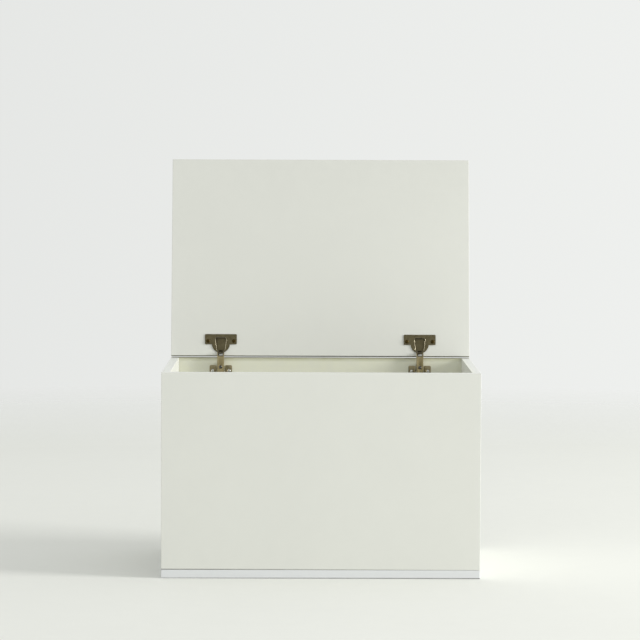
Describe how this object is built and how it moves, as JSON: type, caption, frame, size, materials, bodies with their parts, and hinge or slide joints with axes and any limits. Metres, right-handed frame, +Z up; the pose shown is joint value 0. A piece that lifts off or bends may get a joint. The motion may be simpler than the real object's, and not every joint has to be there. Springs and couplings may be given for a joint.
{
  "type": "storage bench",
  "caption": "White board storage bench: an open-topped box with a flat lid on concealed cup hinges, shown with the lid leaning back open.",
  "frame": {"origin": "centre of the base board's underside, on the floor", "axes": "+X to the right seen from the front, -Y out of the front panel, +Z up"},
  "size_m": [0.6, 0.4666, 0.786],
  "materials": {
    "melamine_board": "chipboard faced and edged in smooth satin off-white melamine",
    "nickel_plated_steel": "pressed steel with dull warm nickel plating",
    "yellow_zinc_steel": "yellow passivated zinc on steel screws",
    "zinc_plated_steel": "bright zinc plating on screws, bolts and pins",
    "die_cast_zinc": "bare die-cast zinc alloy"
  },
  "bodies": {
    "box": {"base_panel": "melamine_board", "front_panel": "melamine_board", "back_panel": "melamine_board", "left_side_panel": "melamine_board", "right_side_panel": "melamine_board", "cam_left_front_low": "die_cast_zinc", "cam_left_front_high": "die_cast_zinc", "cam_left_back_low": "die_cast_zinc", "cam_left_back_high": "die_cast_zinc", "cam_right_front_low": "die_cast_zinc", "cam_right_front_high": "die_cast_zinc", "cam_right_back_low": "die_cast_zinc", "cam_right_back_high": "die_cast_zinc", "cam_bolt_left_front_low": "zinc_plated_steel", "cam_bolt_left_front_high": "zinc_plated_steel", "cam_bolt_left_back_low": "zinc_plated_steel", "cam_bolt_left_back_high": "zinc_plated_steel", "cam_bolt_right_front_low": "zinc_plated_steel", "cam_bolt_right_front_high": "zinc_plated_steel", "cam_bolt_right_back_low": "zinc_plated_steel", "cam_bolt_right_back_high": "zinc_plated_steel", "base_screw_1": "zinc_plated_steel", "base_screw_2": "zinc_plated_steel", "base_screw_3": "zinc_plated_steel", "base_screw_4": "zinc_plated_steel", "base_screw_5": "zinc_plated_steel", "base_screw_6": "zinc_plated_steel", "arm_left": "nickel_plated_steel", "mounting_plate_left": "nickel_plated_steel", "side_screw_left": "zinc_plated_steel", "arm_screw_left": "zinc_plated_steel", "arm_pin_outer_left": "zinc_plated_steel", "arm_pin_inner_left": "zinc_plated_steel", "plate_screw_left_1": "zinc_plated_steel", "plate_screw_left_2": "zinc_plated_steel", "arm_right": "nickel_plated_steel", "mounting_plate_right": "nickel_plated_steel", "side_screw_right": "zinc_plated_steel", "arm_screw_right": "zinc_plated_steel", "arm_pin_outer_right": "zinc_plated_steel", "arm_pin_inner_right": "zinc_plated_steel", "plate_screw_right_1": "zinc_plated_steel", "plate_screw_right_2": "zinc_plated_steel"},
    "outer_links": {"outer_link_left": "nickel_plated_steel", "outer_link_right": "nickel_plated_steel"},
    "inner_links": {"inner_link_left": "nickel_plated_steel", "inner_link_right": "nickel_plated_steel"},
    "lid": {"lid_panel": "melamine_board", "cup_left": "nickel_plated_steel", "cup_pin_outer_left_1": "zinc_plated_steel", "cup_pin_outer_left_2": "zinc_plated_steel", "cup_pin_inner_left": "zinc_plated_steel", "cup_screw_left_1": "yellow_zinc_steel", "cup_screw_left_2": "yellow_zinc_steel", "cup_right": "nickel_plated_steel", "cup_pin_outer_right_1": "zinc_plated_steel", "cup_pin_outer_right_2": "zinc_plated_steel", "cup_pin_inner_right": "zinc_plated_steel", "cup_screw_right_1": "yellow_zinc_steel", "cup_screw_right_2": "yellow_zinc_steel"}
  },
  "joints": [
    {"name": "outer_link_hinge", "type": "hinge", "parent": "box", "child": "outer_links", "pos_m": [0, 0.16955, 0.38741], "axis": [-1, 0, 0], "range_deg": [-0.5, 37.28]},
    {"name": "inner_link_hinge", "type": "hinge", "parent": "box", "child": "inner_links", "pos_m": [0, 0.1766, 0.39855], "axis": [-1, 0, 0], "range_deg": [-0.5, 27.3]},
    {"name": "lid_hinge", "type": "hinge", "parent": "outer_links", "child": "lid", "pos_m": [0, 0.18386, 0.40209], "axis": [1, 0, 0], "range_deg": [0, 136.78]}
  ],
  "couplings": [
    {"joint": "outer_link_hinge", "follows": "lid_hinge", "ratio": 0.26889},
    {"joint": "inner_link_hinge", "follows": "lid_hinge", "ratio": 0.19596}
  ]
}
